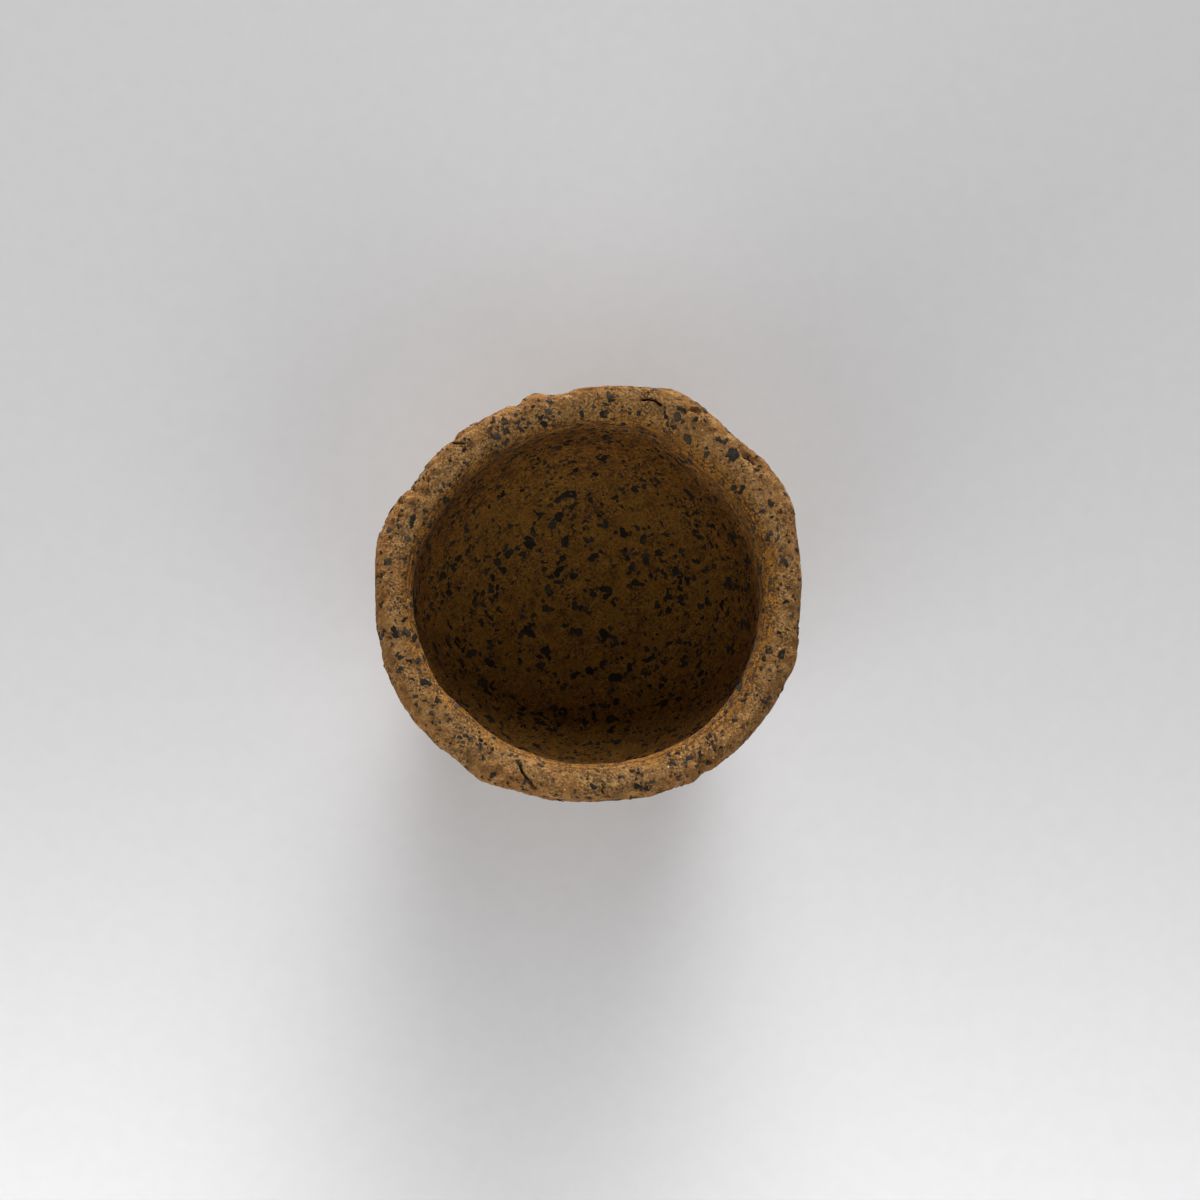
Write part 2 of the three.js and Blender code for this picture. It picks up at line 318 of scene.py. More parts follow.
OCTAVE_TURN = np.array([[0.36, 0.48, -0.8], [-0.8, 0.6, 0.0], [0.48, 0.64, 0.6]])
OCTAVE_STEP = 2.03


def cloud(points, size, seed, octaves=3):
    """Sum of value noises, each octave half as large and as strong, and turned so that no grid shows."""
    total, place = 0, points / size
    for octave in range(octaves):
        total = total + value_noise(place, seed + octave) * 0.5**octave
        place = place @ OCTAVE_TURN.T * OCTAVE_STEP
    return total / (2 - 0.5 ** (octaves - 1))


# Rows of the skin, from the middle of the foot out, up, over the lip and down the bowl. Last in each call is
# the step between rows in millimetres, or for a quarter round how many rows it has
FOOT_ROWS, TOP_ROWS = 14, 12
outer_top = CUP_HEIGHT - LIP_OUTER_ROUND
inner_top = CUP_HEIGHT - LIP_INNER_ROUND
foot_flat = outer_radius(FOOT_EDGE_ROUND) - FOOT_EDGE_ROUND
outer_start = outer_radius(outer_top) - LIP_OUTER_ROUND
inner_start = BOWL_RADIUS + LIP_INNER_ROUND
dish_bowl = down_inside(DISH_TOP, FLOOR_THICKNESS + 0.001, 0.42)
stretches = [
    np.array([(foot_flat * np.sqrt(i / FOOT_ROWS), 0.0) for i in range(FOOT_ROWS + 1)]),
    quarter_round(foot_flat, FOOT_EDGE_ROUND, FOOT_EDGE_ROUND, -90, 0, 7),
    up_outside(FOOT_EDGE_ROUND, DISH_TOP, 0.3),
    up_outside(DISH_TOP, WALL_MIDDLE, 0.24),
    up_outside(WALL_MIDDLE, LIP_BOTTOM, 0.24),
    up_outside(LIP_BOTTOM, outer_top, 0.2),
    quarter_round(outer_start, outer_top, LIP_OUTER_ROUND, 0, 90, 19),
    np.stack([np.linspace(outer_start, inner_start, TOP_ROWS + 1)[1:], np.full(TOP_ROWS, CUP_HEIGHT)], 1),
    quarter_round(inner_start, inner_top, LIP_INNER_ROUND, 90, 180, 12),
    down_inside(inner_top, LIP_BOTTOM, 0.22),
    down_inside(LIP_BOTTOM, WALL_MIDDLE, 0.25),
    down_inside(WALL_MIDDLE, DISH_TOP, 0.26),
    np.append(dish_bowl[:-1], [(0.0, FLOOR_THICKNESS)], 0),
]
ends = np.cumsum([len(s) for s in stretches]) - 1
foot_end, dish_out, lower_out, upper_out = ends[1], ends[2], ends[3], ends[4]
lip_in, upper_in, lower_in, bowl_end = ends[9], ends[10], ends[11], ends[12]
row_radius, row_height = np.concatenate(stretches).T
rows = len(row_radius)

# Columns round the skin, closer across the lip's cracks: middle and half width in degrees, how much closer
COLUMNS, SAMPLES_PER_DEGREE = 840, 20
CRACKED_STRETCHES = [
    (250.8, 5.5, 2.2), (71.7, 3.5, 1.5), (40, 3, 1.2), (131.3, 2.2, 1.2), (274, 2, 1.2), (284.3, 2, 1.2),
]
fine_degrees = np.linspace(0, 360, 360 * SAMPLES_PER_DEGREE + 1)
closeness = np.ones(fine_degrees.shape)
for middle, half_width, gain in CRACKED_STRETCHES:
    closeness += gain * np.exp(-(((fine_degrees - middle) / half_width) ** 4))
columns_so_far = np.append(0, np.cumsum(closeness[:-1]))
even_columns = np.linspace(0, columns_so_far[-1], COLUMNS, endpoint=False)
angle = np.broadcast_to(np.radians(np.interp(even_columns, columns_so_far, fine_degrees)), (rows, COLUMNS))


def skin_points(radius, height):
    """Places on the skin from radius and height on the grid of rows and columns."""
    return np.stack([radius * np.cos(angle), radius * np.sin(angle), height], -1)


def facing(points):
    """Outward normals: the cross product of the steps along the columns and the steps along the rows."""
    along = np.gradient(points, axis=0)
    around = np.roll(points, -1, 1) - np.roll(points, 1, 1)
    normal = np.cross(around, along)
    normal[0], normal[-1] = (0, 0, -1), (0, 0, 1)
    return normal / np.maximum(np.linalg.norm(normal, axis=-1, keepdims=True), 1e-12)


even_radius = np.broadcast_to(row_radius[:, None], angle.shape)
even_height = np.broadcast_to(row_height[:, None], angle.shape)
hand_radius, hand_height = shape_by_hand(even_radius, even_height, angle)
plain = skin_points(hand_radius, hand_height)
normal = facing(plain)

# Which finish each row has: torn outside, wiped lip, turned bowl, flat foot. The ochre of the bowl climbs a
# few rows more or less over the lip's inner edge: ochre_edge says how many, least at the far side
row = np.arange(rows)[:, None]
lip_top_end = ends[8]
wandering = row + 7 * cloud(plain, 3.2, seed=19, octaves=2)
torn = smooth(foot_end - 6, foot_end + 4, row) * (1 - smooth(ends[5] + 11, ends[6] + 1, wandering))
ochre_edge = 1.2 * np.cos(angle + 0.5) + 2.2 * np.cos(2 * angle + 0.3) - 1.5 * np.maximum(0, np.sin(angle))
turned = smooth(ends[7] - 2, ends[7] + 7, row + 2 * cloud(plain, 3.2, seed=21, octaves=2) + ochre_edge)
wiped = (1 - torn) * (1 - turned) * (row > ends[4])
flat = np.broadcast_to(1 - smooth(foot_end - 6, foot_end, row), torn.shape)

# Heights of the relief in millimetres: outside, lip, bowl, foot, and the grooves along the seams
LUMPS, BROAD_LUMPS, TEARS, DRAGS, OUTER_GRAIN, FALLEN_OUT = 0.34, 0.4, 0.5, 0.4, 0.12, 0.45
LIP_WAVES, LIP_GRAIN = 0.16, 0.07
BOWL_WAVES, BOWL_GRAIN, BOWL_FINE_GRAIN, RINGS, RING_GAP = 0.2, 0.1, 0.05, 0.05, 0.55
FOOT_GRAIN, PIT_DEPTH = 0.05, 0.28
JOIN_DEPTH, JOIN_HALF_WIDTH, JOIN_WANDER = 0.2, 0.5, 0.9


def rough_skin():
    """How far the fired clay stands off its plain shape, in millimetres: heights times clouds of given sizes.

    Outside: broad lumps, ridges torn by dragged grit, long shallow drag marks, fine grain, pits where grains
    fell out, and broken grooves where one coil was smeared on to the next. Lip: low waves and fine grain.
    Bowl: low waves, fine grain, and rings about half a millimetre apart that fade away below the mouth."""
    lumps = LUMPS * cloud(plain, 4.5, seed=11)
    lumps = lumps + BROAD_LUMPS * cloud(plain * (1, 1, 1.5), 11, seed=13, octaves=2)
    tears = TEARS * (0.3 - np.abs(cloud(plain * (0.6, 0.6, 1.6), 1.6, seed=23)))
    drags = -DRAGS * smooth(0.22, 0.55, cloud(plain * (0.3, 0.3, 1.5), 1.5, seed=29, octaves=2))
    grain = OUTER_GRAIN * cloud(plain, 0.75, seed=37, octaves=2)
    fallen = -FALLEN_OUT * smooth(0.5, 0.62, cloud(plain, 1.1, seed=31, octaves=1))
    fallen = fallen * smooth(0, 0.3, cloud(plain, 6, seed=33, octaves=1))
    outside = lumps + tears + drags + grain + fallen
    lip = LIP_WAVES * cloud(plain, 4.5, seed=41) + LIP_GRAIN * cloud(plain, 1, seed=43, octaves=2)
    depth = CUP_HEIGHT - even_height
    ring_share = smooth(0.8, 2.5, depth) * (1 - smooth(6, 16, depth))
    ring_share = ring_share * smooth(-0.5, 0.6, cloud(plain, 9, seed=47, octaves=2))
    wavy_height = hand_height + 0.5 * cloud(plain, 12, seed=51, octaves=2)
    rings = RINGS * np.sin(2 * np.pi * wavy_height / RING_GAP) * ring_share
    bowl = BOWL_WAVES * cloud(plain, 8, seed=53, octaves=2)
    bowl = bowl + BOWL_GRAIN * cloud(plain, 1.6, seed=57, octaves=2)
    bowl = bowl + BOWL_FINE_GRAIN * cloud(plain, 0.8, seed=59, octaves=2) + rings
    foot = FOOT_GRAIN * cloud(plain, 2.2, seed=61, octaves=2) - FOOT_GRAIN
    pits = -PIT_DEPTH * smooth(0.52, 0.8, cloud(plain, 1.6, seed=67, octaves=2)) * (0.35 + 0.65 * torn)
    joins = 0
    for seam in (DISH_TOP, WALL_MIDDLE, LIP_BOTTOM):
        away = even_height - seam + JOIN_WANDER * cloud(plain, 9, seed=77, octaves=2)
        groove = np.exp(-((away / JOIN_HALF_WIDTH) ** 2))
        joins = joins - JOIN_DEPTH * groove * smooth(-0.25, 0.5, cloud(plain, 7, seed=79, octaves=2))
    return torn * (outside + joins) + wiped * lip + turned * bowl - flat * foot + pits


# Cracks in the lip. The first is where the coil's slanting ends opened in drying, the others are folds and
# tears of the edge. Width and depth, then places: degrees round, distance out from the lip's middle
CRACKS = [
    (0.23, 1.0, [(248.5, -0.6), (249.9, 0.3), (252.4, 1.3), (255.0, 2.4)]),
    (0.24, 0.8, [(74.6, 0.3), (73.1, 0.55), (71.4, 0.5), (69.2, 0.15)]),
    (0.16, 0.5, [(41.8, 1.3), (40.2, 1.6), (38.1, 1.5)]),
    (0.2, 0.4, [(132.6, 2.4), (131.2, 1.8), (130.1, 1.1)]),
    (0.15, 0.5, [(273.6, 0.3), (274.3, 0.8), (273.4, 1.3), (274.1, 2.0)]),
    (0.17, 0.5, [(283.6, 1.1), (284.2, 1.5), (284.9, 1.9)]),
]
# Torn-out grains: places as above, sizes
PITS = [(248.4, -0.75, 0.42), (246.7, -1.9, 0.4), (255.1, 2.45, 0.45), (284.2, 1.5, 0.28)]
# Nicks in the rim's outer edge: degrees round, half width in degrees, depth
NOTCHES = [
    (131.5, 1.6, 0.35), (150, 1.6, 0.35), (101.5, 1.8, 0.3), (302.5, 1.6, 0.5), (222, 2.2, 0.3),
    (345, 1.3, 0.25),
]
LIP_MIDDLE = BOWL_RADIUS + LIP_WIDTH / 2
# A crack: how far it wanders, how far below the lip's top it reaches, the share of its width at full depth
CRACK_WOBBLE, CRACKED_TOP, CRACK_FLAT = 0.1, 2.6, 0.2
# A pit: the share of its size at full depth, its depth over its size, and how dark its painted shade is
# beside a crack
PIT_FLAT, PIT_SHARE, PIT_SHADE = 0.3, 0.7, 0.8


def lip_place(degrees, from_middle):
    """A place on the lip's top, in the skin's plane."""
    at = np.radians(degrees)
    radius, _ = shape_by_hand(np.array(LIP_MIDDLE + from_middle), np.array(CUP_HEIGHT), at)
    return np.array([radius * np.cos(at), radius * np.sin(at)])


def crack_depth():
    """Depth of the cracks and pits, and their painted shade, 1 in them to 0 a width away.

    Both are eased on the least distance to a crack's legs, each a straight line on the lip's top."""
    wobble = np.stack([cloud(plain, 0.8, seed, octaves=2) for seed in (71, 73)], -1)
    flat_place = plain[..., :2] + CRACK_WOBBLE * wobble
    depth, crack_shade = np.zeros(plain.shape[:2]), np.zeros(plain.shape[:2])
    for width, deep, path in CRACKS:
        nearest = np.full(plain.shape[:2], np.inf)
        for a, b in zip(path[:-1], path[1:]):
            start, leg = lip_place(*a), lip_place(*b) - lip_place(*a)
            share = np.clip((flat_place - start) @ leg / (leg @ leg), 0, 1)
            away = np.linalg.norm(flat_place - start - share[..., None] * leg, axis=-1)
            nearest = np.minimum(nearest, away)
        share = 1 - smooth(CRACK_FLAT * width, width, nearest)
        depth, crack_shade = np.maximum(depth, deep * share), np.maximum(crack_shade, share)
    for at, from_middle, size in PITS:
        away = np.linalg.norm(flat_place - lip_place(at, from_middle), axis=-1)
        share = 1 - smooth(PIT_FLAT * size, size, away)
        depth, crack_shade = np.maximum(depth, PIT_SHARE * size * share), np.maximum(crack_shade, PIT_SHADE * share)
    on_lip = plain[..., 2] > CUP_HEIGHT - CRACKED_TOP
    return depth * on_lip, crack_shade * on_lip


cut, crack_shade = crack_depth()
stand_off = rough_skin() - cut
degrees = np.degrees(angle) % 360
for at, width, depth in NOTCHES:
    away = (degrees - at + 180) % 360 - 180
    on_edge = smooth(ends[4], ends[5], row) * (1 - smooth(ends[6] - 4, ends[7], row))
    stand_off = stand_off - depth * np.exp(-((away / width) ** 2)) * on_edge
stand_off[0], stand_off[-1] = stand_off[0].mean(), stand_off[-1].mean()
skin = plain + normal * stand_off[..., None]

# The skin goes where the CAD lip is, and nothing of it passes the CAD model's box
lip_rows = slice(upper_out, lip_in + 1)
lip_span = plain[lip_rows, :, :2].reshape(-1, 2)
lip_middle = (lip_span.min(0) + lip_span.max(0)) / 2
shift = np.append((np.array(lip_low)[:2] + np.array(lip_high)[:2]) / 2 / MM - lip_middle, 0)
box_low, box_high = np.array(cad_box[0]) / MM, np.array(cad_box[1]) / MM
BOX_EASE, HARD_STOP = 0.7, 1e-9


def in_place(points):
    """Points of the skin in the part's frame in metres, held inside the CAD model's box.

    The last BOX_EASE millimetres before a side of the box are pressed together by a hyperbolic tangent. At
    its top and bottom the points just stop."""
    placed = points + shift
    ease = np.array([BOX_EASE, BOX_EASE, HARD_STOP])
    over, under = placed - (box_high - ease), box_low + ease - placed
    placed = np.where(over > 0, box_high - ease + ease * np.tanh(over / ease), placed)
    placed = np.where(under > 0, box_low + ease - ease * np.tanh(under / ease), placed)
    return np.clip(placed, box_low, box_high) * MM


# Grains lie nearly level with the plain shape, and turn only a little with the relief that they lie in
RELIEF_TURN = 0.3
skin_normal = facing(skin)
level_facing = normal + RELIEF_TURN * skin_normal
level_facing /= np.linalg.norm(level_facing, axis=-1, keepdims=True)


def mesh_piece(name, points, faces, material, smooth_faces=True, **shares):
    """A mesh object from points in metres, faces of three or four corners (-1: none), and point shares."""
    mesh = bpy.data.meshes.new(name)
    corners = faces[faces >= 0]
    count = (faces >= 0).sum(1)
    mesh.vertices.add(len(points))
    mesh.vertices.foreach_set("co", points.astype(np.float32).ravel())
    mesh.loops.add(len(corners))
    mesh.loops.foreach_set("vertex_index", corners.astype(np.int32))
    mesh.polygons.add(len(faces))
    mesh.polygons.foreach_set("loop_start", np.append(0, np.cumsum(count)[:-1]).astype(np.int32))
    mesh.update(calc_edges=True)
    mesh.polygons.foreach_set("use_smooth", np.full(len(faces), smooth_faces))
    for share, values in shares.items():
        layer = mesh.attributes.new(share, "FLOAT", "POINT")
        layer.data.foreach_set("value", values.astype(np.float32).ravel())
    mesh.validate()
    mesh.materials.append(material)
    piece = bpy.data.objects.new(name, mesh)
    bpy.context.scene.collection.objects.link(piece)
    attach(piece, "root")
    return piece


# Finish of the clay: greyish tan on the wiped lip, ochre on the bowl's wall and umber on its floor, rusty
# outside, blotched by the fire, with pale dust and a painted highlight on the raised points of its grain,
# painted shade in its hollows, rust and black specks too fine to be grains of their own, pale flecks with
# painted glints, and painted shade in its cracks, pits, hairline tears and tool lines
clay, on_clay, clay_shader = new_material("tan_stoneware", Roughness=0.95)
clay_shader.inputs["Specular IOR Level"].default_value = 0.3
LIP_TAN, LIP_WARM = (0.32, 0.162, 0.053, 1), (0.31, 0.140, 0.034, 1)
BOWL_OCHRE, BOWL_UMBER = (0.318, 0.127, 0.011, 1), (0.268, 0.127, 0.016, 1)
# The dust colours are pale dust and the painted highlight on the grain's raised points. The dark shade on the
# next line is painted shade in the grain's hollows and tool lines, and the colour of random dark blotches.
PALE_DUST_AND_HIGHLIGHT, OCHRE_DUST_AND_HIGHLIGHT = (0.58, 0.335, 0.115, 1), (0.50, 0.24, 0.045, 1)
RUSTY_TAN, DARK_BLOTCH_AND_HOLLOW_SHADE = (0.32, 0.142, 0.034, 1), (0.10, 0.042, 0.011, 1)
# The first colour is that of rust specks, and of the painted shade in hairline tears
RUST_AND_TEAR_SHADE, SPECK_BLACK = (0.075, 0.032, 0.014, 1), (0.022, 0.020, 0.020, 1)
GLINT, CRACK_SHADE = (0.85, 0.60, 0.32, 1), (0.022, 0.013, 0.007, 1)
SMOKED, RED_FIRED = (0.15, 0.085, 0.036, 1), (0.33, 0.118, 0.030, 1)


def share_of(name):
    """A point share of the mesh, such as bowl, torn or crack, as a wire."""
    return on_clay.add("Attribute", output="Fac", attribute_name=name)


def specks(size, share, width, seed):
    """Ragged blots: one in a share of the cells of a cell pattern, round its cell's middle."""
    moved = on_clay.add("VectorMath", {0: ragged, 1: (seed * MM, 0, 0)}, operation="ADD")
    inputs = {"Vector": moved, "Scale": 1 / size, "Randomness": 1.0}
    near = on_clay.add("TexVoronoi", inputs, output="Distance")
    pick = on_clay.add("TexVoronoi", inputs, output="Color")
    pick = pick.add("SeparateColor", {"Color": pick})
    return (1 - near.fade(width * 0.6, width)) * (pick < share)


RAGGED_BY = 0.35 * MM
raggedness = {"Vector": on_clay, "Scale": 1 / RAGGED_BY, "Detail": 2.0}
ragged = on_clay.add("TexNoise", raggedness, output="Color")
ragged = on_clay.add("VectorMath", {0: ragged, "Scale": RAGGED_BY}, operation="SCALE")
ragged = on_clay.add("VectorMath", {0: ragged, 1: on_clay}, operation="ADD")

bowl_share, torn_share = share_of("bowl"), share_of("torn")
height_up = on_clay.add("SeparateXYZ", {"Vector": on_clay}, output="Z")
wall_share = bowl_share * height_up.fade(16 * MM, 26 * MM)
blotch = on_clay.noise(6 * MM, detail=4)
mottle = on_clay.noise(1.5 * MM, detail=4, roughness=0.65)
sand = on_clay.noise(0.36 * MM, detail=3, roughness=0.75)
colour = blotch.fade(0.42, 0.6).mix(LIP_TAN, LIP_WARM)
colour = torn_share.mix(colour, RUSTY_TAN)
fire_cloud = on_clay.noise(13 * MM, detail=4, roughness=0.6)
colour = (fire_cloud.fade(0.5, 0.66) * torn_share * 0.55).mix(colour, SMOKED)
colour = (fire_cloud.fade(0.47, 0.33) * torn_share * 0.5).mix(colour, RED_FIRED)
colour = bowl_share.mix(colour, wall_share.mix(BOWL_UMBER, BOWL_OCHRE))
dust_and_highlight = bowl_share.mix(PALE_DUST_AND_HIGHLIGHT, OCHRE_DUST_AND_HIGHLIGHT)
# The mottle raises the bump too: pale dust and a painted highlight on its high places, painted shade in its
# low ones, and random dark blotches besides
colour = (mottle.fade(0.52, 0.68) * (0.65 - bowl_share * 0.25)).mix(colour, dust_and_highlight)
colour = (mottle.fade(0.48, 0.36) * 0.5 + blotch.fade(0.46, 0.34) * 0.3).mix(colour, DARK_BLOTCH_AND_HOLLOW_SHADE)

# Sandy grain, strong in some patches and half as strong between them, and weaker on the torn outside. Its
# colour
# follows its bump: pale dust and a painted highlight where it stands up, painted shade where it dips
sandy = on_clay.noise(4 * MM, detail=2).fade(0.4, 0.6) * 0.5 + 0.5
sand_dust_and_highlight = 0.8 - bowl_share * 0.16 - torn_share * 0.35 + wall_share * 0.2
sand_hollow_shade = 0.95 - torn_share * 0.4 + wall_share * 0.2
colour = (sand.fade(0.51, 0.59) * sandy * sand_dust_and_highlight).mix(colour, dust_and_highlight)
colour = (sand.fade(0.49, 0.39) * sandy * sand_hollow_shade).mix(colour, DARK_BLOTCH_AND_HOLLOW_SHADE)

# Tool lines scored round just inside the mouth, about half a millimetre apart, sunk in the bump and darkened
# with painted shade
LINE_GAP = 0.5 * MM
lines = (height_up * (2 * np.pi / LINE_GAP) + on_clay.noise(5 * MM, detail=3) * 14).sine()
scored = bowl_share * height_up.fade(22 * MM, 36 * MM) * on_clay.noise(2.5 * MM, detail=2).fade(0.38, 0.54)
lines = lines.fade(0.3, 0.9) * scored
colour = (lines * 0.9).mix(colour, DARK_BLOTCH_AND_HOLLOW_SHADE)

# Hairline tears where the damp clay was dragged, in patches, more and wider on the bowl's wall, sunk in the
# bump and darkened with rust-brown painted shade
from_line = abs(on_clay.noise(1.2 * MM, detail=4, roughness=0.6) - 0.5)
torn_patches = (on_clay.noise(2.6 * MM, detail=2) + wall_share * 0.12).fade(0.52, 0.62)
hairlines = (from_line - wall_share * 0.008).fade(0.024, 0.008) * torn_patches
colour = (hairlines * 0.75).mix(colour, RUST_AND_TEAR_SHADE)

rust_specks = specks(0.5 * MM, share=0.10, width=0.36, seed=3)
black_specks = specks(1.05 * MM, share=0.3, width=0.32, seed=17)
# Glints: pale flecks with a painted highlight, warm and less rough, and mostly left out of the shaded bowl
glints = specks(1.7 * MM, share=0.16, width=0.10, seed=29) * (1 - bowl_share * 0.8)
colour = (rust_specks * 0.7).mix(colour, RUST_AND_TEAR_SHADE)
colour = (black_specks * 0.85).mix(colour, SPECK_BLACK)
colour = (glints * 0.9).mix(colour, GLINT)
# Painted shade in the cracks and pits, and round them
colour = share_of("crack").mix(colour, CRACK_SHADE)
relief = sand * (0.8 + torn_share * 0.6) + mottle * 0.9 - lines * 0.35 - rust_specks * 0.15 - hairlines * 0.4
feed(
    clay_shader,
    Base_Color=colour,
    Roughness=0.95 - (black_specks + glints) * 0.4,
    Normal=relief.add("Bump", {"Height": relief, "Strength": 1.0, "Distance": 0.3 * MM}),
)


def clay_rows(name, node, outside, inside):
    """One piece of clay: its rows of the skin outside and inside, joined across each seam to close it."""
    picked = np.concatenate([outside, inside])
    whole = outside[0] == 0
    points, normals = in_place(skin[picked]).reshape(-1, 3), skin_normal[picked].reshape(-1, 3)
    index = np.arange(len(points)).reshape(len(picked), COLUMNS)
    above = index[1:] if whole else np.roll(index, -1, 0)
    below = index[:-1] if whole else index
    quads = np.stack([below, np.roll(below, -1, 1), np.roll(above, -1, 1), above], -1).reshape(-1, 4)
    if whole:
        quads[:COLUMNS, 0], quads[:COLUMNS, 1], quads[:COLUMNS, 2] = 0, quads[:COLUMNS, 2], quads[:COLUMNS, 3]
        quads[:COLUMNS, 3] = -1
        quads[-COLUMNS:, 2], quads[-COLUMNS:, 3] = len(points) - 1, -1
    used = np.unique(quads[quads >= 0])
    renumber = np.full(len(points) + 1, -1)
    renumber[used] = np.arange(len(used))
    piece = mesh_piece(
        name, points[used], renumber[quads], clay,
        torn=torn[picked].ravel()[used], bowl=turned[picked].ravel()[used], crack=crack_shade[picked].ravel()[used],
    )
    piece.data.normals_split_custom_set_from_vertices(normals[used])
    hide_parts(node)


def rows_from(first, last):
    """The skin's rows from a first to a last one."""
    return np.arange(first, last + 1)


NO_ROWS = np.arange(0)
clay_rows("dish_clay", "base_dish", rows_from(0, dish_out), rows_from(lower_in, bowl_end))
clay_rows("lower_wall_clay", "lower_wall_coil", rows_from(dish_out, lower_out), rows_from(upper_in, lower_in))
clay_rows("upper_wall_clay", "upper_wall_coil", rows_from(lower_out, upper_out), rows_from(lip_in, upper_in))
clay_rows("lip_clay", "lip_coil", rows_from(upper_out, lip_in), NO_ROWS)

# Stones. The largest pieces of crushed black rock in the lip and bowl, one where each stone of the CAD model
# is, set in the damp clay, chipped ragged and ground nearly level with it. Near black, glassy in places,
# rusty in others, and dulled by a film of clay, most of all on the lip.
ROCK_BLACK, CLAY_FILM = (0.016, 0.014, 0.011, 1), (0.130, 0.104, 0.074, 1)
ROCK_RUST, ROCK_GLASS = (0.15, 0.085, 0.04, 1), (0.012, 0.012, 0.011, 1)
rock, on_rock, rock_shader = new_material("black_rock")
rock_shader.inputs["Specular IOR Level"].default_value = 0.1
tone = on_rock.add("Attribute", output="Fac", attribute_name="tone")
rock_blotch = on_rock.noise(0.45 * MM, detail=4, roughness=0.65)
rock_colour = tone.mix(ROCK_BLACK, CLAY_FILM)
rock_colour = (rock_blotch.fade(0.5, 0.7) * (0.2 + tone * 0.6)).mix(rock_colour, ROCK_RUST)
rock_colour = (rock_blotch.fade(0.46, 0.3) * 0.6).mix(rock_colour, ROCK_GLASS)
feed(
    rock_shader,
    Base_Color=rock_colour,
    Roughness=0.45 + rock_blotch.fade(0.35, 0.6) * 0.45,
    Normal=rock_blotch.add("Bump", {"Height": rock_blotch, "Strength": 0.8, "Distance": 0.1 * MM}),
)

# Depth and size of the chips in a stone's sides, and size of the breaks in its face, in millimetres
STONE_CHIPS, CHIP_SIZE, BREAK_SIZE = 0.5, 1.3, 0.8
# How high its top is raised at least, how much of it is then left whole, and which share of the rest is left
STONE_SEAT, STONE_CAP, CAP_LEFT = 0.3, 0.03, 0.2
# How far its sides go out (+) or in (-), and how deep its breaks are: less for the four whole ones
STONE_GROWTH, STONE_BREAKS = -0.32, 0.26
WHOLE_GROWTH, WHOLE_BREAKS = -0.22, 0.06
WHOLE_STONES = ("bowl_stone_1", "bowl_stone_2", "bowl_stone_3", "bowl_stone_4")
# How light a stone is on the lip and in the bowl, and which share of that it has where it is sunk
LIP_STONE_TONE, BOWL_STONE_TONE, SUNK_TONE = 0.2, 0.12, 0.2
WELD_GAP, FACET_LEVELS, STONE_CORE = 0.01 * MM, 2, 0.3
skin_place, skin_facing = in_place(skin).reshape(-1, 3) / MM, skin_normal.reshape(-1, 3)


def split_facets(name, mesh):
    """An object with a welded copy of a mesh, its faces cut smaller FACET_LEVELS times without rounding."""
    stone = bpy.data.objects.new(name, mesh.copy())
    bpy.context.scene.collection.objects.link(stone)
    stone.modifiers.new("weld", "WELD").merge_threshold = WELD_GAP
    facets = stone.modifiers.new("facets", "SUBSURF")
    facets.subdivision_type = "SIMPLE"
    facets.levels = facets.render_levels = FACET_LEVELS
    mesh = bpy.data.meshes.new_from_object(stone.evaluated_get(bpy.context.evaluated_depsgraph_get()))
    stone.modifiers.clear()
    stone.data = mesh
    return stone


def worn_stone(place, whole):
    """Points of a stone after wear, and how far each then stands out of the clay, in millimetres.

    Its sides move out from its middle by the growth plus a cloud of chips, less within STONE_CORE of it.
    Above the cap only CAP_LEFT of its height is left, and a second cloud breaks its face."""
    growth, breaks = (WHOLE_GROWTH, WHOLE_BREAKS) if whole else (STONE_GROWTH, STONE_BREAKS)
    middle = (place.min(0) + place.max(0)) / 2
    under = np.argmin(np.linalg.norm(skin_place - middle, axis=1))
    surface, out = skin_place[under], skin_facing[under]
    sideways = place - middle
    sideways -= (sideways @ out)[:, None] * out
    sideways /= np.maximum(np.linalg.norm(sideways, axis=1, keepdims=True), STONE_CORE)
    place = place + sideways * (growth + STONE_CHIPS * cloud(place, CHIP_SIZE, seed=83)[:, None])
    proud = (place - surface) @ out
    lift = max(0, STONE_SEAT - proud.max())
    place, proud = place + lift * out, proud + lift
    level = np.where(proud > STONE_CAP, STONE_CAP + CAP_LEFT * (proud - STONE_CAP), proud)
    level = level + breaks * cloud(place, BREAK_SIZE, seed=89)
    return place + (level - proud)[:, None] * out, level


for node_name, node in sorted(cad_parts.items()):
    if "_stone_" not in node_name:
        continue
    stone = split_facets(f"rough_{node_name}", node.data)
    mesh = stone.data
    place = np.zeros(len(mesh.vertices) * 3)
    mesh.vertices.foreach_get("co", place)
    place, level = worn_stone(place.reshape(-1, 3) / MM, node_name in WHOLE_STONES)
    mesh.vertices.foreach_set("co", np.clip(place, box_low, box_high).ravel() * MM)
    mesh.polygons.foreach_set("use_smooth", np.zeros(len(mesh.polygons), bool))
    layer = mesh.attributes.new("tone", "FLOAT", "POINT")
    stone_tone = LIP_STONE_TONE if "lip" in node_name else BOWL_STONE_TONE
    layer.data.foreach_set("value", stone_tone * (SUNK_TONE + (1 - SUNK_TONE) * smooth(-0.05, 0.15, level)))
    mesh.materials.clear()
    mesh.materials.append(rock)
    mesh.update()
    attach(stone, "root")
    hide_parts(node_name)

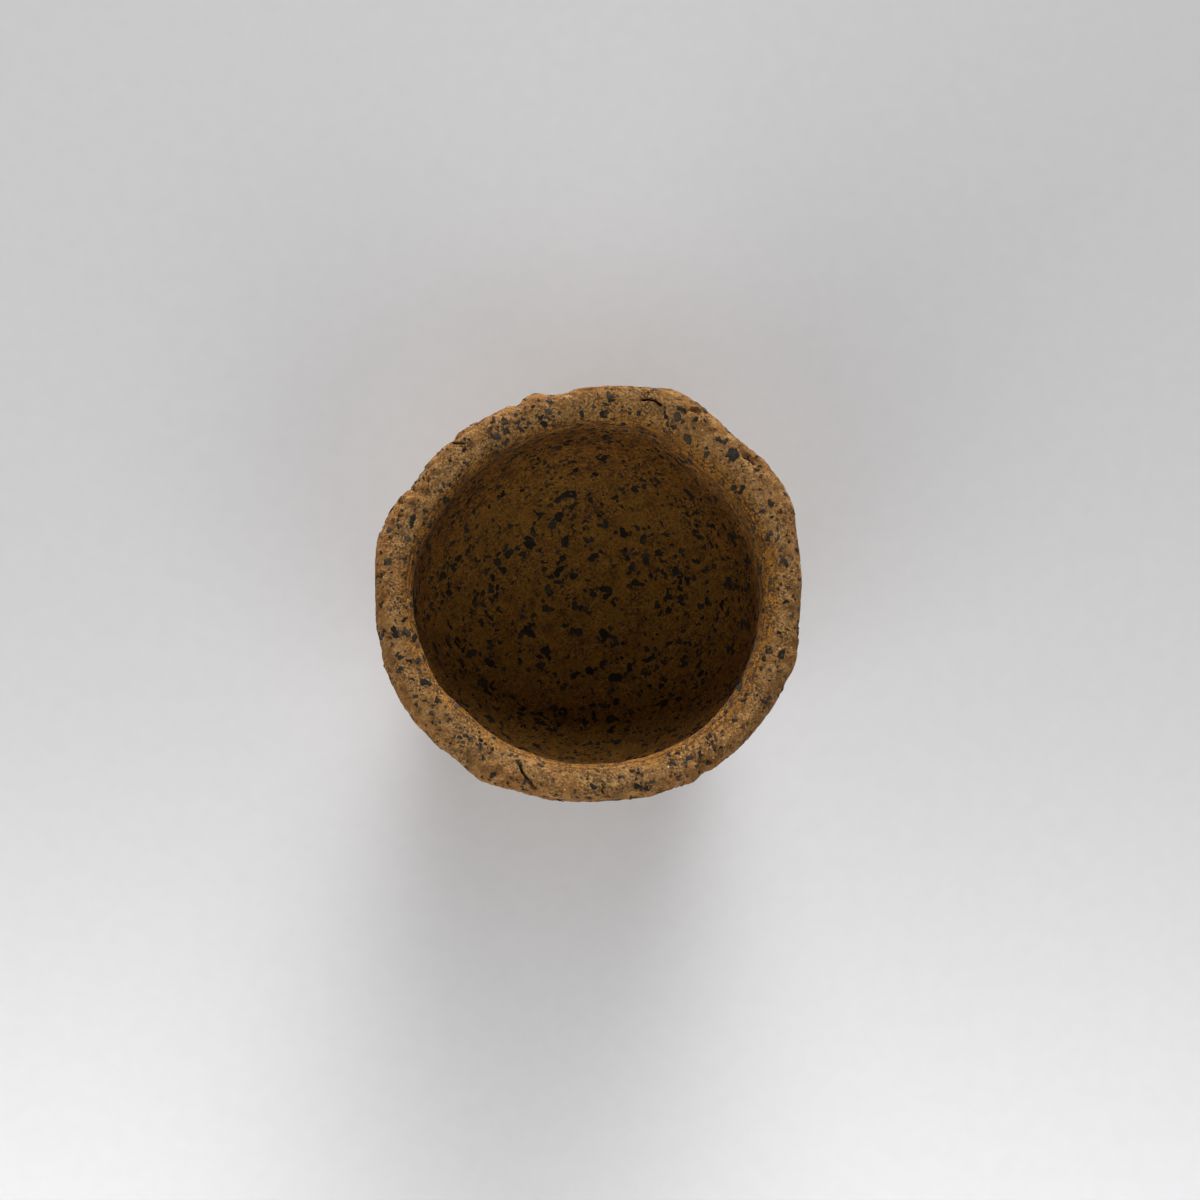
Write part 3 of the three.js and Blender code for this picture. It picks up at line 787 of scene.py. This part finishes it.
# Grit. The same rock crushed fine and kneaded into the clay, from a quarter of a millimetre to about two. It
# lies nearly level with the surface, and is ground flat under the foot.
GOLDEN = (1 + 5**0.5) / 2
CRYSTAL = np.array([
    (-1, GOLDEN, 0), (1, GOLDEN, 0), (-1, -GOLDEN, 0), (1, -GOLDEN, 0),
    (0, -1, GOLDEN), (0, 1, GOLDEN), (0, -1, -GOLDEN), (0, 1, -GOLDEN),
    (GOLDEN, 0, -1), (GOLDEN, 0, 1), (-GOLDEN, 0, -1), (-GOLDEN, 0, 1),
]) / np.hypot(1, GOLDEN)
CRYSTAL_FACES = np.array([
    (0, 11, 5), (0, 5, 1), (0, 1, 7), (0, 7, 10), (0, 10, 11),
    (1, 5, 9), (5, 11, 4), (11, 10, 2), (10, 7, 6), (7, 1, 8),
    (3, 9, 4), (3, 4, 2), (3, 2, 6), (3, 6, 8), (3, 8, 9),
    (4, 9, 5), (2, 4, 11), (6, 2, 10), (8, 6, 7), (9, 8, 1),
])
# Sizes of sieve classes, and how many grains of each lie in a square millimetre
SIEVE = [(0.25, 0.45), (0.45, 0.7), (0.7, 1.0), (1.0, 1.5), (1.5, 2.2)]
LIP_GRAINS = (0.17, 0.17, 0.07, 0.034, 0)
WALL_GRAINS = (0.10, 0.17, 0.12, 0.06, 0.005)
BOWL_GRAINS = (0.05, 0.10, 0.09, 0.105, 0.012)
OUTER_GRAINS = (0.18, 0.16, 0.08, 0.03, 0.001)
# The size from which a grain is two crystals, and the second one's distance and size over the first's size
COMPOUND_FROM, SECOND_APART, SECOND_SIZE = 0.5, 0.55, (0.5, 0.85)
# A crystal's greatest length over its size, and the spread of its corners and of its cap over even ones
SLENDEREST, CORNER_SPREAD, CAP_SPREAD = 1.55, (0.65, 1.25), (0.5, 1.6)
# Its highest cap and its depth in the clay over its half width, and the share of its cap that is sunk
STEEPEST, BURIED, SUNK = 0.6, 0.7, 0.2
# How light its edge is beside its top
EDGE_TONE = 0.15
# How much denser grains lie where a cloud of this size is high, and how sparse they get at most
CROWDING, CROWD_SIZE, SPARSEST = 1.3, 4, 0.1
# Columns are taken to be at least this far apart, also in the middle of foot and bowl, where they meet
SHORTEST_STEP = 0.05


def crystals(rng, centre, out, size, proud):
    """Twenty-sided crystals: corners moved at random, longer than wide, buried below, a low cap above."""
    count = len(size)
    slender = rng.uniform(1.0, SLENDEREST, count)
    long, wide = size / 2 * slender, size / 2 / slender
    rounds = np.cross(out, rng.normal(size=(count, 3)))
    rounds /= np.linalg.norm(rounds, axis=1, keepdims=True)
    across = np.cross(out, rounds)
    corners = CRYSTAL[None] * rng.uniform(*CORNER_SPREAD, (count, len(CRYSTAL), 1))
    cap = np.minimum(proud * rng.uniform(*CAP_SPREAD, count), STEEPEST * wide)
    centre = centre - out * (SUNK * cap)[:, None]
    rise = np.where(corners[..., 2] > 0, cap[:, None], BURIED * wide[:, None]) * corners[..., 2]
    points = centre[:, None] + out[:, None] * rise[..., None]
    points = points + rounds[:, None] * (corners[..., 0] * long[:, None])[..., None]
    return points + across[:, None] * (corners[..., 1] * wide[:, None])[..., None]


def grit_in(name, row_range, per_mm2, proud, tones, seed):
    """Grains over some rows of the skin: how many of each class, how proud they stand and how light they are.

    Their places are drawn by area, and crowd where a cloud is high. A large grain is two crystals grown
    together, the second on the skin a little along and around from the first. A grain is lightest on its worn
    top, and dark round its edge."""
    rng = np.random.default_rng(seed)
    picked = np.arange(rows)[row_range][:-1]
    step_along = np.linalg.norm(skin[picked + 1] - skin[picked], axis=-1)
    step_around = np.linalg.norm(np.roll(skin[picked], -1, 1) - skin[picked], axis=-1)
    area = step_along * step_around
    crowd = area * np.clip(1 + CROWDING * cloud(skin[picked], CROWD_SIZE, seed, octaves=2), SPARSEST, None)
    size = np.concatenate([
        np.exp(rng.uniform(*np.log(limits), int(share * area.sum()))) for limits, share in zip(SIEVE, per_mm2)
    ])
    at = np.unravel_index(rng.choice(area.size, len(size), p=(crowd / crowd.sum()).ravel()), area.shape)
    first = crystals(rng, skin[picked][at], level_facing[picked][at], size, proud)
    tone = rng.uniform(*tones, len(size))
    large = size > COMPOUND_FROM
    along, around = rng.uniform(-SECOND_APART, SECOND_APART, (2, large.sum())) * size[large]
    beside_row = at[0][large] + np.rint(along / step_along[at][large]).astype(int)
    step = np.maximum(step_around[at][large], SHORTEST_STEP)
    beside_column = at[1][large] + np.rint(around / step).astype(int)
    beside = np.clip(beside_row, 0, len(picked) - 1), beside_column % COLUMNS
    half = size[large] * rng.uniform(*SECOND_SIZE, large.sum())
    second = crystals(rng, skin[picked][beside], level_facing[picked][beside], half, proud)
    points, tone = np.concatenate([first, second]), np.concatenate([tone, tone[large]])
    faces = (CRYSTAL_FACES[None] + np.arange(len(points))[:, None, None] * len(CRYSTAL)).reshape(-1, 3)
    worn = EDGE_TONE + (1 - EDGE_TONE) * np.clip(CRYSTAL[:, 2] / CRYSTAL[:, 2].max(), 0, 1)
    piece = mesh_piece(
        name, in_place(points).reshape(-1, 3), faces, rock, smooth_faces=False, tone=tone[:, None] * worn
    )


grit_in("foot_grit", slice(2, foot_end), LIP_GRAINS, 0.02, (0, 0.5), 101)
grit_in("dish_outer_grit", slice(foot_end, dish_out + 1), OUTER_GRAINS, 0.12, (0, 0.7), 102)
grit_in("lower_wall_outer_grit", slice(dish_out, lower_out + 1), OUTER_GRAINS, 0.12, (0, 0.7), 103)
grit_in("upper_wall_outer_grit", slice(lower_out, upper_out + 1), OUTER_GRAINS, 0.12, (0, 0.7), 104)
grit_in("lip_outer_grit", slice(upper_out, ends[5] + 10), OUTER_GRAINS, 0.09, (0, 0.6), 105)
grit_in("lip_grit", slice(ends[5] + 10, lip_top_end), LIP_GRAINS, 0.12, (0, 0.6), 106)
grit_in("lip_inner_grit", slice(lip_top_end, lip_in + 1), WALL_GRAINS, 0.13, (0, 0.45), 107)
grit_in("upper_wall_inner_grit", slice(lip_in, upper_in + 1), WALL_GRAINS, 0.13, (0, 0.4), 108)
grit_in("lower_wall_inner_grit", slice(upper_in, lower_in + 1), WALL_GRAINS, 0.12, (0, 0.4), 109)
grit_in("bowl_floor_grit", slice(lower_in, bowl_end - 1), BOWL_GRAINS, 0.1, (0, 0.4), 110)


# Studio light. A wide soft box and a low strip beyond the cup rake its torn edge and leave the bowl in shade.
# Two boxes on the near side light the lip and the bowl's far wall, two low strips the outside, and a weak
# lamp the floor. The air is dim and grey.
def soft_box(name, place, target, size, watts, spread=180):
    """A rectangular lamp at a place, facing a target: metres, watts, and its spread in degrees."""
    light = bpy.data.lights.new(name, "AREA")
    light.spread = np.radians(spread)
    light.shape, light.size, light.size_y = "RECTANGLE", size[0], size[1]
    light.energy = watts
    lamp = bpy.data.objects.new(name, light)
    lamp.location = place
    lamp.rotation_euler = (Vector(target) - Vector(place)).to_track_quat("-Z", "Y").to_euler()
    bpy.context.scene.collection.objects.link(lamp)


CUP_MIDDLE = (0, 0, 0.03)
soft_box("far_soft_box", (0.2, 1.23, 0.53), CUP_MIDDLE, (1.0, 0.6), 1.4, spread=52)
soft_box("rim_strip", (0.1, 1.24, 0.19), CUP_MIDDLE, (0.8, 0.16), 1.45, spread=42)
soft_box("near_right_box", (0.34, -0.5, 0.6), CUP_MIDDLE, (0.5, 0.5), 1.3)
soft_box("near_left_box", (-0.34, -0.5, 0.6), CUP_MIDDLE, (0.5, 0.5), 0.93)
soft_box("front_right_strip", (0.46, -0.42, 0.16), CUP_MIDDLE, (0.4, 0.1), 0.3)
soft_box("front_left_strip", (-0.46, -0.42, 0.16), CUP_MIDDLE, (0.4, 0.1), 1.6)
soft_box("floor_light", (0, -0.17, 0.34), (0, -0.12, 0), (0.35, 0.06), 0.06, spread=40)
GREY_AIR = (0.075, 0.075, 0.0762, 1)
world = bpy.data.worlds.new("grey_air")
world.use_nodes = True
world.node_tree.nodes["Background"].inputs["Color"].default_value = GREY_AIR
bpy.context.scene.world = world
bpy.context.scene.view_settings.view_transform = "Standard"
